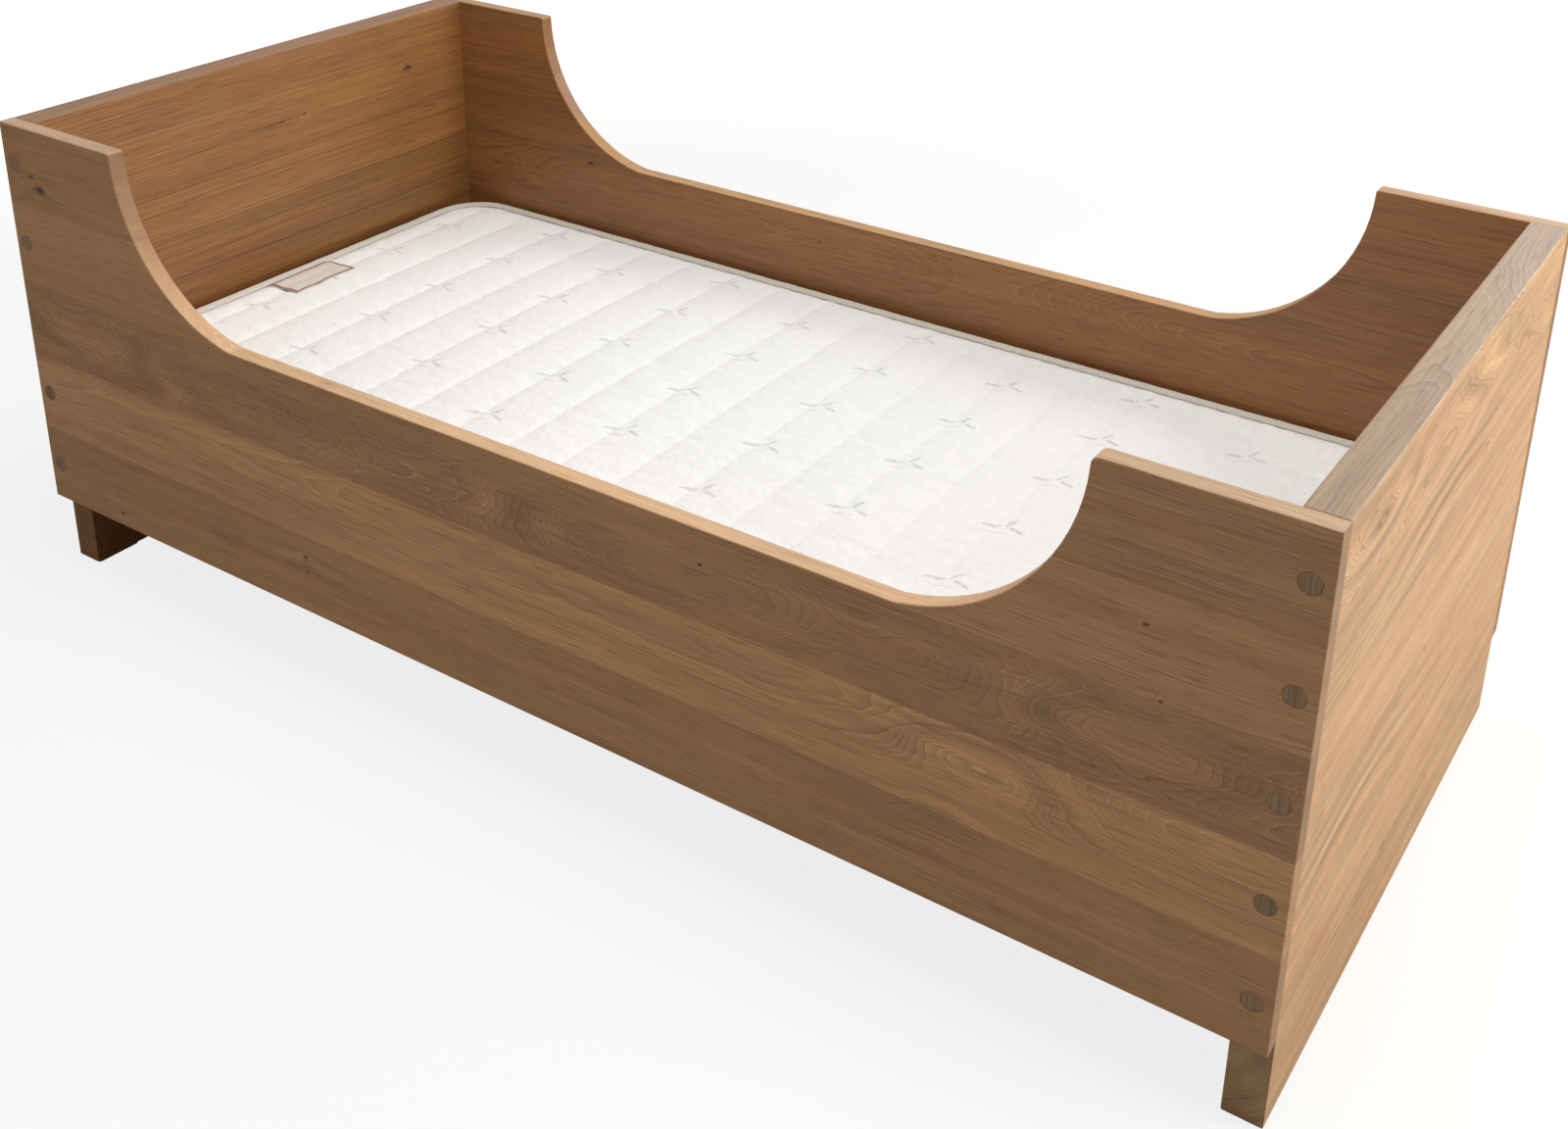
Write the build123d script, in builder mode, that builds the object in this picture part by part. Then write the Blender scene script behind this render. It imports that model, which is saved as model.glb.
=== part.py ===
# Kids bed: scooped side panels fixed to thick end panels, with a slatted base and a quilted mattress.
# Millimetres. +X runs towards the foot, -Y is the front side and +Z is up.
# The origin is on the floor, under the middle of the bed.
import os

from build123d import *

os.makedirs("parts", exist_ok=True)

# Mattress, which the bed is built round
mattress_length = 1500
mattress_width = 700
mattress_height = 120
mattress_corner = 75
mattress_side_gap = 5  # to the side panels
mattress_end_gap = 12  # to the end panels
soft_gap = 0.3  # under the mattress, and under its label

# Panels, glued up from boards of one width
board_width = 100
side_boards = 5
side_thickness = 20
end_thickness = 38
floor_gap = 100  # under the side panels
edge_round = 1.5

# Scooped top edge of the side panels
horn_length = 200  # level stretch at each end
scoop_radius = 200  # the arcs' centres are level with the horns
scoop_rise = 2  # the low edge cuts each arc this far above its lowest point
scoop_blend = 20  # where the low edge runs into the arcs
horn_tip_round = 3
worn_tip_round = 8  # the front horn at the foot is rounded further

# Felt glides under the end panels
glide_thickness = 3
glide_length = 60
glide_inset = 3

# Screws through the side panels into the end panels, each under a wooden plug
plug_radius = 10
plug_length = 8
plug_chamfer = 0.4
corner_head_radius = 6
corner_head_height = 4
corner_shank_radius = 3
corner_screw_length = 60  # under the head
corner_point_length = 6
socket_radius = 2.3
socket_depth = 2.5
hole_clearance = 0.1  # round every screw and plug, and past every screw's point

# Ledgers that carry the slats
ledger_width = 30
ledger_height = 45
ledger_rise = 15  # above the side panels' bottom edge
ledger_end_gap = 2
ledger_round = 2
ledger_screws_each = 6
ledger_screw_margin = 80  # from each end of the ledger
ledger_head_radius = 4.5
ledger_shank_radius = 2.25
ledger_screw_length = 42
ledger_point_length = 5
cross_width = 0.9
cross_span = 4
cross_depth = 1.6

# Slats, held at their pitch by two stapled bands
slat_count = 14
slat_width = 70
slat_thickness = 18
slat_end_gap = 4  # to the side panels
slat_round = 3
webbing_width = 20
webbing_thickness = 1.5
webbing_inset = 70  # from the ledger to the band's middle
staple_wire = 1.2
staple_span = 11
staple_leg = 12  # from the slat's underside into the slat
staple_pair_gap = 30

# Mattress cover
tape_reach = 14  # the binding tape rounds the edge, this far in and this far down
tape_thickness = 1.5
border_thickness = 6
border_draw = 3  # how far the border draws in at half height
crown_rise = 5
seam_pitch = 76
first_seam = 56  # from the head end
channel_puff = 3
channel_fade_width = 55  # the channels flatten over this width at each side
faded_puff_share = 0.2
label_length = 106
label_width = 60
label_from_head = 16
label_off_middle = 16  # towards the front
label_thickness = 0.6

# Sizes that follow
inner_length = mattress_length + 2 * mattress_end_gap
inner_width = mattress_width + 2 * mattress_side_gap
bed_length = inner_length + 2 * end_thickness
bed_width = inner_width + 2 * side_thickness
half_length = bed_length / 2
bed_height = floor_gap + side_boards * board_width
low_edge = bed_height - scoop_radius + scoop_rise
ledger_bottom = floor_gap + ledger_rise
slat_bottom = ledger_bottom + ledger_height
slat_top = slat_bottom + slat_thickness
mattress_bottom = slat_top + soft_gap
mattress_top = mattress_bottom + mattress_height


def outward_face(side, distance):
    # side is -1 at the front and 1 at the rear; the plane looks away from the middle, its own Y upwards
    return Plane(origin=(0, side * distance, 0), x_dir=(-side, 0, 0), z_dir=(0, side, 0))


# Side panels: a board panel with a scoop cut down from its top edge
end_middle = half_length - end_thickness / 2
plug_heights = [floor_gap + (row + 0.5) * board_width for row in range(side_boards)]
plug_spots = [(end * end_middle, height) for end in (-1, 1) for height in plug_heights]
counterbore_depth = plug_length + corner_head_height

ledger_length = inner_length - 2 * ledger_end_gap
ledger_middle = ledger_bottom + ledger_height / 2
ledger_screw_pitch = (ledger_length - 2 * ledger_screw_margin) / (ledger_screws_each - 1)
ledger_screw_xs = [
    ledger_screw_margin - ledger_length / 2 + number * ledger_screw_pitch
    for number in range(ledger_screws_each)
]
ledger_screw_spots = [(x, ledger_middle) for x in ledger_screw_xs]
ledger_inner = inner_width / 2 - ledger_width

with BuildSketch() as scoop_outline:
    with Locations((0, bed_height)):
        SlotCenterToCenter(bed_length - 2 * (horn_length + scoop_radius), 2 * scoop_radius)
    with Locations((0, low_edge)):
        Rectangle(bed_length, scoop_radius, align=(Align.CENTER, Align.MAX), mode=Mode.SUBTRACT)

with BuildSketch() as side_outline:
    with Locations((0, floor_gap)):
        Rectangle(bed_length, side_boards * board_width, align=(Align.CENTER, Align.MIN))
    add(scoop_outline.sketch, mode=Mode.SUBTRACT)
    fillet(side_outline.vertices().group_by(Axis.Y)[1], scoop_blend)


def side_panel(side, foot_tip_round):
    with BuildPart() as panel:
        with BuildSketch(outward_face(side, bed_width / 2)):
            add(side_outline.sketch)
        extrude(amount=-side_thickness)
        head_tip = panel.edges().filter_by(Axis.Y).group_by(Axis.Z)[-1].sort_by(Axis.X)[1]
        fillet(head_tip, horn_tip_round)
        foot_tip = panel.edges().filter_by(Axis.Y).group_by(Axis.Z)[-1].sort_by(Axis.X)[-2]
        fillet(foot_tip, foot_tip_round)
        faces = panel.faces().filter_by(Axis.Y).sort_by(Axis.Y)[::-side]
        inner_rim = faces[-1].edges().filter_by(Axis.Z, reverse=True)
        fillet(faces[0].edges() + inner_rim, edge_round)
        with BuildSketch(outward_face(side, bed_width / 2)):
            with Locations(*plug_spots):
                Circle(plug_radius + hole_clearance)
        extrude(amount=-counterbore_depth, mode=Mode.SUBTRACT)
        with BuildSketch(outward_face(side, bed_width / 2)):
            with Locations(*plug_spots):
                Circle(corner_shank_radius + hole_clearance)
        extrude(amount=-side_thickness, mode=Mode.SUBTRACT)
        with BuildSketch(outward_face(-side, -inner_width / 2)):
            with Locations(*ledger_screw_spots):
                Circle(ledger_shank_radius + hole_clearance)
        extrude(amount=-(ledger_screw_length - ledger_width + hole_clearance), mode=Mode.SUBTRACT)
    return panel


front_side_panel = side_panel(-1, worn_tip_round)
front_side_panel.part.label = "front_side_panel"
export_step(front_side_panel.part, "parts/front_side_panel.step")

rear_side_panel = side_panel(1, horn_tip_round)
rear_side_panel.part.label = "rear_side_panel"
export_step(rear_side_panel.part, "parts/rear_side_panel.step")


# End panels: they stand between the side panels, and their lower corners are the feet
def end_panel(end):
    pilot_depth = counterbore_depth + corner_screw_length - side_thickness + hole_clearance
    with BuildPart() as panel:
        with Locations((end * end_middle, 0, glide_thickness)):
            Box(
                end_thickness,
                inner_width,
                bed_height - glide_thickness,
                align=(Align.CENTER, Align.CENTER, Align.MIN),
            )
        fillet(panel.edges().filter_by(Axis.Y), edge_round)
        for side in (-1, 1):
            with BuildSketch(outward_face(side, inner_width / 2)):
                with Locations(*[(-side * end * end_middle, height) for height in plug_heights]):
                    Circle(corner_shank_radius + hole_clearance)
            extrude(amount=-pilot_depth, mode=Mode.SUBTRACT)
    return panel


head_panel = end_panel(-1)
head_panel.part.label = "head_panel"
export_step(head_panel.part, "parts/head_panel.step")

foot_panel = end_panel(1)
foot_panel.part.label = "foot_panel"
export_step(foot_panel.part, "parts/foot_panel.step")


# Felt glides under the four feet
for end, end_name in ((-1, "head"), (1, "foot")):
    for side, side_name in ((-1, "front"), (1, "rear")):
        with BuildPart() as glide:
            glide_y = side * (inner_width / 2 - glide_inset - glide_length / 2)
            with Locations((end * end_middle, glide_y, 0)):
                Box(
                    end_thickness - 2 * glide_inset,
                    glide_length,
                    glide_thickness,
                    align=(Align.CENTER, Align.CENTER, Align.MIN),
                )
        glide.part.label = f"glide_{end_name}_{side_name}"
        export_step(glide.part, f"parts/glide_{end_name}_{side_name}.step")


# Corner screws: the head's top is at the origin and the point runs to -Z
with BuildPart() as corner_screw:
    with BuildSketch(Plane.XZ):
        with BuildLine():
            Polyline(
                (0, 0),
                (corner_head_radius, 0),
                (corner_head_radius, -corner_head_height),
                (corner_shank_radius, -corner_head_height),
                (corner_shank_radius, corner_point_length - corner_head_height - corner_screw_length),
                (0, -corner_head_height - corner_screw_length),
                close=True,
            )
        make_face()
    revolve(axis=Axis.Z)
    with BuildSketch():
        RegularPolygon(socket_radius, 6)
    extrude(amount=-socket_depth, mode=Mode.SUBTRACT)

with BuildPart() as corner_screws:
    for side in (-1, 1):
        with Locations(outward_face(side, bed_width / 2 - plug_length)):
            with Locations(*plug_spots):
                add(corner_screw.part)
corner_screws.part.label = "corner_screws"
export_step(corner_screws.part, "parts/corner_screws.step")


# Wooden plugs over the screw heads, flush with the side panels
def plugs(side):
    with BuildPart() as row:
        with BuildSketch(outward_face(side, bed_width / 2)):
            with Locations(*plug_spots):
                Circle(plug_radius)
        extrude(amount=-plug_length)
        outer_rims = row.edges().filter_by(GeomType.CIRCLE).group_by(Axis.Y)[::-side][0]
        chamfer(outer_rims, plug_chamfer)
    return row


front_plugs = plugs(-1)
front_plugs.part.label = "front_plugs"
export_step(front_plugs.part, "parts/front_plugs.step")

rear_plugs = plugs(1)
rear_plugs.part.label = "rear_plugs"
export_step(rear_plugs.part, "parts/rear_plugs.step")


# Ledger screws: countersunk, the head's top at the origin and the point to -Z
with BuildPart() as ledger_screw:
    with BuildSketch(Plane.XZ):
        with BuildLine():
            Polyline(
                (0, 0),
                (ledger_head_radius, 0),
                (ledger_shank_radius, ledger_shank_radius - ledger_head_radius),
                (ledger_shank_radius, ledger_point_length - ledger_screw_length),
                (0, -ledger_screw_length),
                close=True,
            )
        make_face()
    revolve(axis=Axis.Z)
    with BuildSketch():
        Rectangle(cross_span, cross_width)
        Rectangle(cross_width, cross_span)
    extrude(amount=-cross_depth, mode=Mode.SUBTRACT)

with BuildPart() as ledger_screws:
    for side in (-1, 1):
        with Locations(outward_face(-side, -ledger_inner)):
            with Locations(*ledger_screw_spots):
                add(ledger_screw.part)
ledger_screws.part.label = "ledger_screws"
export_step(ledger_screws.part, "parts/ledger_screws.step")


# Ledgers on the side panels' inner faces
def ledger(side):
    with BuildPart() as rail:
        with Locations((0, side * (inner_width - ledger_width) / 2, ledger_bottom)):
            Box(
                ledger_length,
                ledger_width,
                ledger_height,
                align=(Align.CENTER, Align.CENTER, Align.MIN),
            )
        inner_rims = rail.faces().sort_by(Axis.Y)[::side][0].edges().filter_by(Axis.X)
        fillet(inner_rims, ledger_round)
        with Locations(outward_face(-side, -ledger_inner)):
            with Locations(*ledger_screw_spots):
                CounterSinkHole(
                    ledger_shank_radius + hole_clearance,
                    ledger_head_radius + hole_clearance,
                    counter_sink_angle=90,
                )
    return rail


front_ledger = ledger(-1)
front_ledger.part.label = "front_ledger"
export_step(front_ledger.part, "parts/front_ledger.step")

rear_ledger = ledger(1)
rear_ledger.part.label = "rear_ledger"
export_step(rear_ledger.part, "parts/rear_ledger.step")


# Slatted base: slats on two webbing bands, with two staples at every crossing
slat_pitch = (mattress_length - slat_width) / (slat_count - 1)
slat_xs = [(slat_width - mattress_length) / 2 + number * slat_pitch for number in range(slat_count)]
slat_length = inner_width - 2 * slat_end_gap
webbing_y = ledger_inner - webbing_inset
staple_offsets = [
    (pair * staple_pair_gap / 2, side * webbing_y + leg * staple_span / 2)
    for pair in (-1, 1)
    for side in (-1, 1)
    for leg in (-1, 1)
]


def staple_spots(slat_x):
    # where the staples' legs go up through the webbing into one slat
    return [(slat_x + across, along) for across, along in staple_offsets]


for number, slat_x in enumerate(slat_xs, start=1):
    with BuildPart() as slat:
        with Locations((slat_x, 0, slat_bottom)):
            Box(
                slat_width,
                slat_length,
                slat_thickness,
                align=(Align.CENTER, Align.CENTER, Align.MIN),
            )
        fillet(slat.edges().filter_by(Axis.Y), slat_round)
        with BuildSketch(Plane.XY.offset(slat_bottom)):
            with Locations(*staple_spots(slat_x)):
                Rectangle(staple_wire, staple_wire)
        extrude(amount=staple_leg, mode=Mode.SUBTRACT)
    slat.part.label = f"slat_{number:02d}"
    export_step(slat.part, f"parts/slat_{number:02d}.step")


def webbing(side):
    with BuildPart() as band:
        with Locations((0, side * webbing_y, slat_bottom)):
            Box(
                mattress_length,
                webbing_width,
                webbing_thickness,
                align=(Align.CENTER, Align.CENTER, Align.MAX),
            )
        for slat_x in slat_xs:
            with BuildSketch(Plane.XY.offset(slat_bottom)):
                with Locations(*staple_spots(slat_x)):
                    Rectangle(staple_wire, staple_wire)
            extrude(amount=-webbing_thickness, mode=Mode.SUBTRACT)
    return band


front_webbing = webbing(-1)
front_webbing.part.label = "front_webbing"
export_step(front_webbing.part, "parts/front_webbing.step")

rear_webbing = webbing(1)
rear_webbing.part.label = "rear_webbing"
export_step(rear_webbing.part, "parts/rear_webbing.step")

webbing_bottom = slat_bottom - webbing_thickness
with BuildPart() as webbing_staples:
    for slat_x in slat_xs:
        with BuildSketch(Plane.XY.offset(webbing_bottom)):
            with Locations(*staple_spots(slat_x)):
                Rectangle(staple_wire, staple_wire)
        extrude(amount=webbing_thickness + staple_leg)
        with BuildSketch(Plane.XY.offset(webbing_bottom)):
            for pair in (-1, 1):
                for side in (-1, 1):
                    with Locations((slat_x + pair * staple_pair_gap / 2, side * webbing_y)):
                        Rectangle(staple_wire, staple_span + staple_wire)
        extrude(amount=-staple_wire)
webbing_staples.part.label = "webbing_staples"
export_step(webbing_staples.part, "parts/webbing_staples.step")


# Mattress: foam core, side border, base panel, quilted top and the tape that binds both edges
def rounded_prism(inset, low, high):
    # the mattress's outline drawn in by inset, from one height to another
    with BuildPart() as prism:
        with BuildSketch(Plane.XY.offset(low)):
            RectangleRounded(
                mattress_length - 2 * inset,
                mattress_width - 2 * inset,
                mattress_corner - inset,
            )
        extrude(amount=high - low)
    return prism.part


def rounded_form(inset):
    # the mattress without its crown, drawn in by inset all round, with both edges rounded over
    with BuildPart() as form:
        add(rounded_prism(inset, mattress_bottom + inset, mattress_top - inset))
        fillet(form.faces().filter_by(Axis.Z).edges(), tape_reach - inset)
    return form.part


quilt_bottom = mattress_top - tape_reach
base_top = mattress_bottom + tape_reach
outer_form = rounded_form(0)
inner_form = rounded_form(tape_thickness)

with BuildPart() as top_tape:
    add(outer_form)
    add(rounded_prism(0, quilt_bottom, mattress_top), mode=Mode.INTERSECT)
    add(inner_form, mode=Mode.SUBTRACT)
    add(rounded_prism(tape_reach, quilt_bottom, mattress_top), mode=Mode.SUBTRACT)
top_tape.part.label = "top_tape"
export_step(top_tape.part, "parts/top_tape.step")

with BuildPart() as bottom_tape:
    add(outer_form)
    add(rounded_prism(0, mattress_bottom, base_top), mode=Mode.INTERSECT)
    add(inner_form, mode=Mode.SUBTRACT)
    add(rounded_prism(tape_reach, mattress_bottom, base_top), mode=Mode.SUBTRACT)
bottom_tape.part.label = "bottom_tape"
export_step(bottom_tape.part, "parts/bottom_tape.step")

with BuildPart() as mattress_core:
    add(rounded_prism(border_thickness, base_top, quilt_bottom))
mattress_core.part.label = "mattress_core"
export_step(mattress_core.part, "parts/mattress_core.step")

with BuildPart() as mattress_border:
    for height, inset in (
        (base_top, 0),
        ((base_top + quilt_bottom) / 2, border_draw),
        (quilt_bottom, 0),
    ):
        with BuildSketch(Plane.XY.offset(height)):
            RectangleRounded(
                mattress_length - 2 * inset,
                mattress_width - 2 * inset,
                mattress_corner - inset,
            )
    loft()
    add(mattress_core.part, mode=Mode.SUBTRACT)
mattress_border.part.label = "mattress_border"
export_step(mattress_border.part, "parts/mattress_border.step")

with BuildPart() as mattress_base:
    add(inner_form)
    add(rounded_prism(tape_reach, mattress_bottom, base_top))
    add(rounded_prism(0, mattress_bottom, base_top), mode=Mode.INTERSECT)
mattress_base.part.label = "mattress_base"
export_step(mattress_base.part, "parts/mattress_base.step")

# Quilted top: sewn seams across the mattress with a puff between each two, crowned from side to side
seam_count = int((mattress_length - first_seam) // seam_pitch)
seam_xs = [first_seam - mattress_length / 2 + number * seam_pitch for number in range(seam_count)]
half_mattress = mattress_width / 2
fade_y = half_mattress - channel_fade_width
quilt_top = mattress_top + crown_rise + 2 * channel_puff


def quilt_slab(lift):
    # the crowned and channelled layer, from the quilt's underside to its top raised by lift
    with BuildPart() as slab:
        for y, puff in (
            (-half_mattress, channel_puff * faded_puff_share),
            (-fade_y, channel_puff),
            (0, channel_puff),
            (fade_y, channel_puff),
            (half_mattress, channel_puff * faded_puff_share),
        ):
            crown = crown_rise * (1 - (y / half_mattress) ** 2)
            seams = [(x, mattress_top + crown + lift) for x in seam_xs]
            ends = [(end * mattress_length / 2, mattress_top + lift) for end in (-1, 1)]
            tops = [ends[0], *seams, ends[1]]
            with BuildSketch(Plane.XZ.offset(-y)):
                with BuildLine():
                    for left, right in zip(tops[:-1], tops[1:]):
                        SagittaArc(left, right, -puff)
                    Line(ends[1], (mattress_length / 2, quilt_bottom))
                    Line((mattress_length / 2, quilt_bottom), (-mattress_length / 2, quilt_bottom))
                    Line((-mattress_length / 2, quilt_bottom), ends[0])
                make_face()
        loft()
    return slab.part


with BuildPart() as quilt_mould:
    add(inner_form)
    add(rounded_prism(tape_reach, quilt_bottom, quilt_top))

with BuildPart() as mattress_quilt:
    add(quilt_slab(0))
    add(quilt_mould.part, mode=Mode.INTERSECT)
mattress_quilt.part.label = "mattress_quilt"
export_step(mattress_quilt.part, "parts/mattress_quilt.step")

# Sewn label: a thin sheet that follows the quilt
with BuildPart() as mattress_label:
    label_x = label_from_head + (label_width - mattress_length) / 2
    with Locations((label_x, -label_off_middle, quilt_bottom)):
        Box(
            label_width,
            label_length,
            quilt_top + soft_gap + label_thickness - quilt_bottom,
            align=(Align.CENTER, Align.CENTER, Align.MIN),
        )
    add(quilt_slab(soft_gap + label_thickness), mode=Mode.INTERSECT)
    add(quilt_slab(soft_gap), mode=Mode.SUBTRACT)
mattress_label.part.label = "mattress_label"
export_step(mattress_label.part, "parts/mattress_label.step")
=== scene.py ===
import random
from functools import partial
from math import cos, exp, pi, radians, sin, sqrt, tanh

import bmesh
import bpy
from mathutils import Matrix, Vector, noise
from mathutils.bvhtree import BVHTree


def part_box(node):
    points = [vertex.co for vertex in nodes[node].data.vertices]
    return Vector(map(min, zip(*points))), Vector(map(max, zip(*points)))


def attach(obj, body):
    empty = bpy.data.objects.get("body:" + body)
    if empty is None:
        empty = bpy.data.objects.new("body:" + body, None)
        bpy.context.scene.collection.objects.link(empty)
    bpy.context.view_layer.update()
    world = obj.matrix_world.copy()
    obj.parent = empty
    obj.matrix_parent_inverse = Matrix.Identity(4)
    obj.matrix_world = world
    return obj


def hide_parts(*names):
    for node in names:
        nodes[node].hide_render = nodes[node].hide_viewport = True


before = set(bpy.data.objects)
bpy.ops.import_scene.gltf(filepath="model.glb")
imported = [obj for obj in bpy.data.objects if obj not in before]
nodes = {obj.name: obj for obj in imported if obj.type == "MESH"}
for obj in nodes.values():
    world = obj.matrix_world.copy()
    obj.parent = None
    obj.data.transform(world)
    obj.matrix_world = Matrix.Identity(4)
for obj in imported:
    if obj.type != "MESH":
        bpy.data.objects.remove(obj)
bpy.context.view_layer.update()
mm = 0.001  # sizes below are in millimetres
print("frame loaded:", len(nodes), "nodes")

# kinds of node that are used over and over; a mapRange takes a value, its range and its new range
maths, vector, mapRange = "ShaderNodeMath", "ShaderNodeVectorMath", "ShaderNodeMapRange"
combine, separate, mixer = "ShaderNodeCombineXYZ", "ShaderNodeSeparateXYZ", "ShaderNodeMix"
noiseTexture, coordinates = "ShaderNodeTexNoise", "ShaderNodeTexCoord"
inColour = {"out": 2, "data_type": "RGBA"}  # a mixer's share is then input 0, its colours 6 and 7


def hexColour(text):
    # sRGB hex to the linear colour that shaders take
    parts = [int(text[i:i + 2], 16) / 255 for i in (1, 3, 5)]
    return [p / 12.92 if p <= 0.04045 else ((p + 0.055) / 1.055) ** 2.4 for p in parts] + [1]


def addNode(tree, kind, inputs=(), operation=None, out=0, **settings):
    # adds a node, sets it, fills or links its inputs, which come by name or in their order, and
    # returns one of its outputs, if it has any
    node = tree.nodes.new(kind)
    if operation:
        node.operation = operation
    for name, value in settings.items():
        setattr(node, name, value)
    for key, value in inputs.items() if isinstance(inputs, dict) else enumerate(inputs):
        if isinstance(value, bpy.types.NodeSocket):
            tree.links.new(value, node.inputs[key])
        else:
            node.inputs[key].default_value = value
    return node.outputs[out] if node.outputs else None


def newMaterial(name):
    # an empty material, and what adds its nodes
    material = bpy.data.materials.new(name)
    material.use_nodes = True
    material.node_tree.nodes.clear()
    return material, partial(addNode, material.node_tree)


def finishMaterial(add, colour, roughness, height, bumpMm, **constants):
    # one Principled surface with a bump; constants go straight on its sockets
    bump = add("ShaderNodeBump", {"Height": height, "Distance": bumpMm * mm})
    inputs = {"Base Color": colour, "Roughness": roughness, "Normal": bump}
    inputs.update({key.replace("_", " "): value for key, value in constants.items()})
    surface = add("ShaderNodeBsdfPrincipled", inputs)
    add("ShaderNodeOutputMaterial", {"Surface": surface})


def shaded(add, colour, value, darkest, palest, low=0.0, high=1.0):
    # the colour, darker or paler as the value goes from low to high
    level = add(mapRange, [value, low, high, darkest, palest])
    return add(vector, {0: colour, "Scale": level}, "SCALE")


def setMaterial(piece, material):
    piece.data.materials.clear()
    piece.data.materials.append(material)


def newObject(name, data):
    made = bpy.data.objects.new(name, data)
    bpy.context.scene.collection.objects.link(made)
    return made


# camera, light and floor
camera = {
    "place": (1.0865, -1.5350, 1.2754),
    "turn": (68.250, -0.940, 33.468),  # degrees
    "lens": 41.31,
    "shift": (-0.0131, -0.2114),  # the picture is framed lower than the lens points
}
data = bpy.data.cameras.new("camera")
data.lens = camera["lens"]
data.sensor_width = 36
data.shift_x, data.shift_y = camera["shift"]
data.clip_start = 0.05
eye = newObject("camera", data)
eye.location = camera["place"]
eye.rotation_euler = [radians(a) for a in camera["turn"]]
bpy.context.scene.camera = eye
bpy.context.scene.view_settings.view_transform = "Standard"

studio = {
    "lamps": [
        # name, place, aim, size in metres, watts
        ("footLamp", (2.75, 0.55, 0.85), (0.8, 0.0, 0.35), 1.3, 48),
        ("window", (1.3, 3.1, 2.1), (0.2, 0.0, 0.4), 2.2, 66),
        ("overhead", (0.3, -0.2, 2.8), (0.15, -0.05, 0.3), 2.0, 58),
        ("front", (-0.6, -3.2, 0.45), (-0.1, 0.0, 0.3), 1.5, 17),
    ],
    "worldLight": 0.08,
    "floorColour": "#bdb9b2", "floorReach": 9, "floorGlow": 1.22,
    "plainShare": 0.68, "plainFrom": 1.5, "plainTo": 3.4,  # metres from the middle of the bed
}


def makeStudio():
    for name, place, aim, size, watts in studio["lamps"]:
        data = bpy.data.lights.new(name, "AREA")
        data.size = size
        data.energy = watts
        lamp = newObject(name, data)
        lamp.location = place
        lamp.rotation_euler = (Vector(aim) - Vector(place)).to_track_quat("-Z", "Y").to_euler()

    white = (1, 1, 1, 1)
    world = bpy.data.worlds.new("studio")
    bpy.context.scene.world = world
    world.use_nodes = True
    world.node_tree.nodes.clear()
    add = partial(addNode, world.node_tree)
    rays = add("ShaderNodeLightPath").node.outputs
    seen = add(maths, [rays["Is Camera Ray"], rays["Is Glossy Ray"]], "MAXIMUM")
    seen = add(maths, [seen, rays["Is Transmission Ray"]], "MAXIMUM")
    lit = add("ShaderNodeBackground", {"Color": white, "Strength": studio["worldLight"]})
    shown = add("ShaderNodeBackground", {"Color": white, "Strength": 1.0})
    mixed = add("ShaderNodeMixShader", [seen, lit, shown])
    add("ShaderNodeOutputWorld", {"Surface": mixed})

    # Matt paper floor: near the bed it keeps a third of its shading for the eye, so that the shadow
    # shows on a pale ground, and further out it turns plain white like the background
    material, add = newMaterial("mattPaper")
    rays = add("ShaderNodeLightPath").node.outputs
    place = add(coordinates, out="Object")
    away = add(vector, [place], "LENGTH", out="Value")
    plain = add(mapRange, [away, studio["plainFrom"], studio["plainTo"], studio["plainShare"]],
                interpolation_type="SMOOTHSTEP")
    share = add(maths, [rays["Is Camera Ray"], plain], "MULTIPLY")
    paper = add("ShaderNodeBsdfDiffuse", {"Color": hexColour(studio["floorColour"])})
    pale = add("ShaderNodeEmission", {"Color": white, "Strength": studio["floorGlow"]})
    mixed = add("ShaderNodeMixShader", [share, paper, pale])
    add("ShaderNodeOutputMaterial", {"Surface": mixed})
    far = studio["floorReach"]
    mesh = bpy.data.meshes.new("floor")
    corners = [(-far, -far, 0), (far, -far, 0), (far, far, 0), (-far, far, 0)]
    mesh.from_pydata(corners, [], [(0, 1, 2, 3)])
    mesh.materials.append(material)
    floor = newObject("floor", mesh)


makeStudio()
print("camera and studio made")


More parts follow.
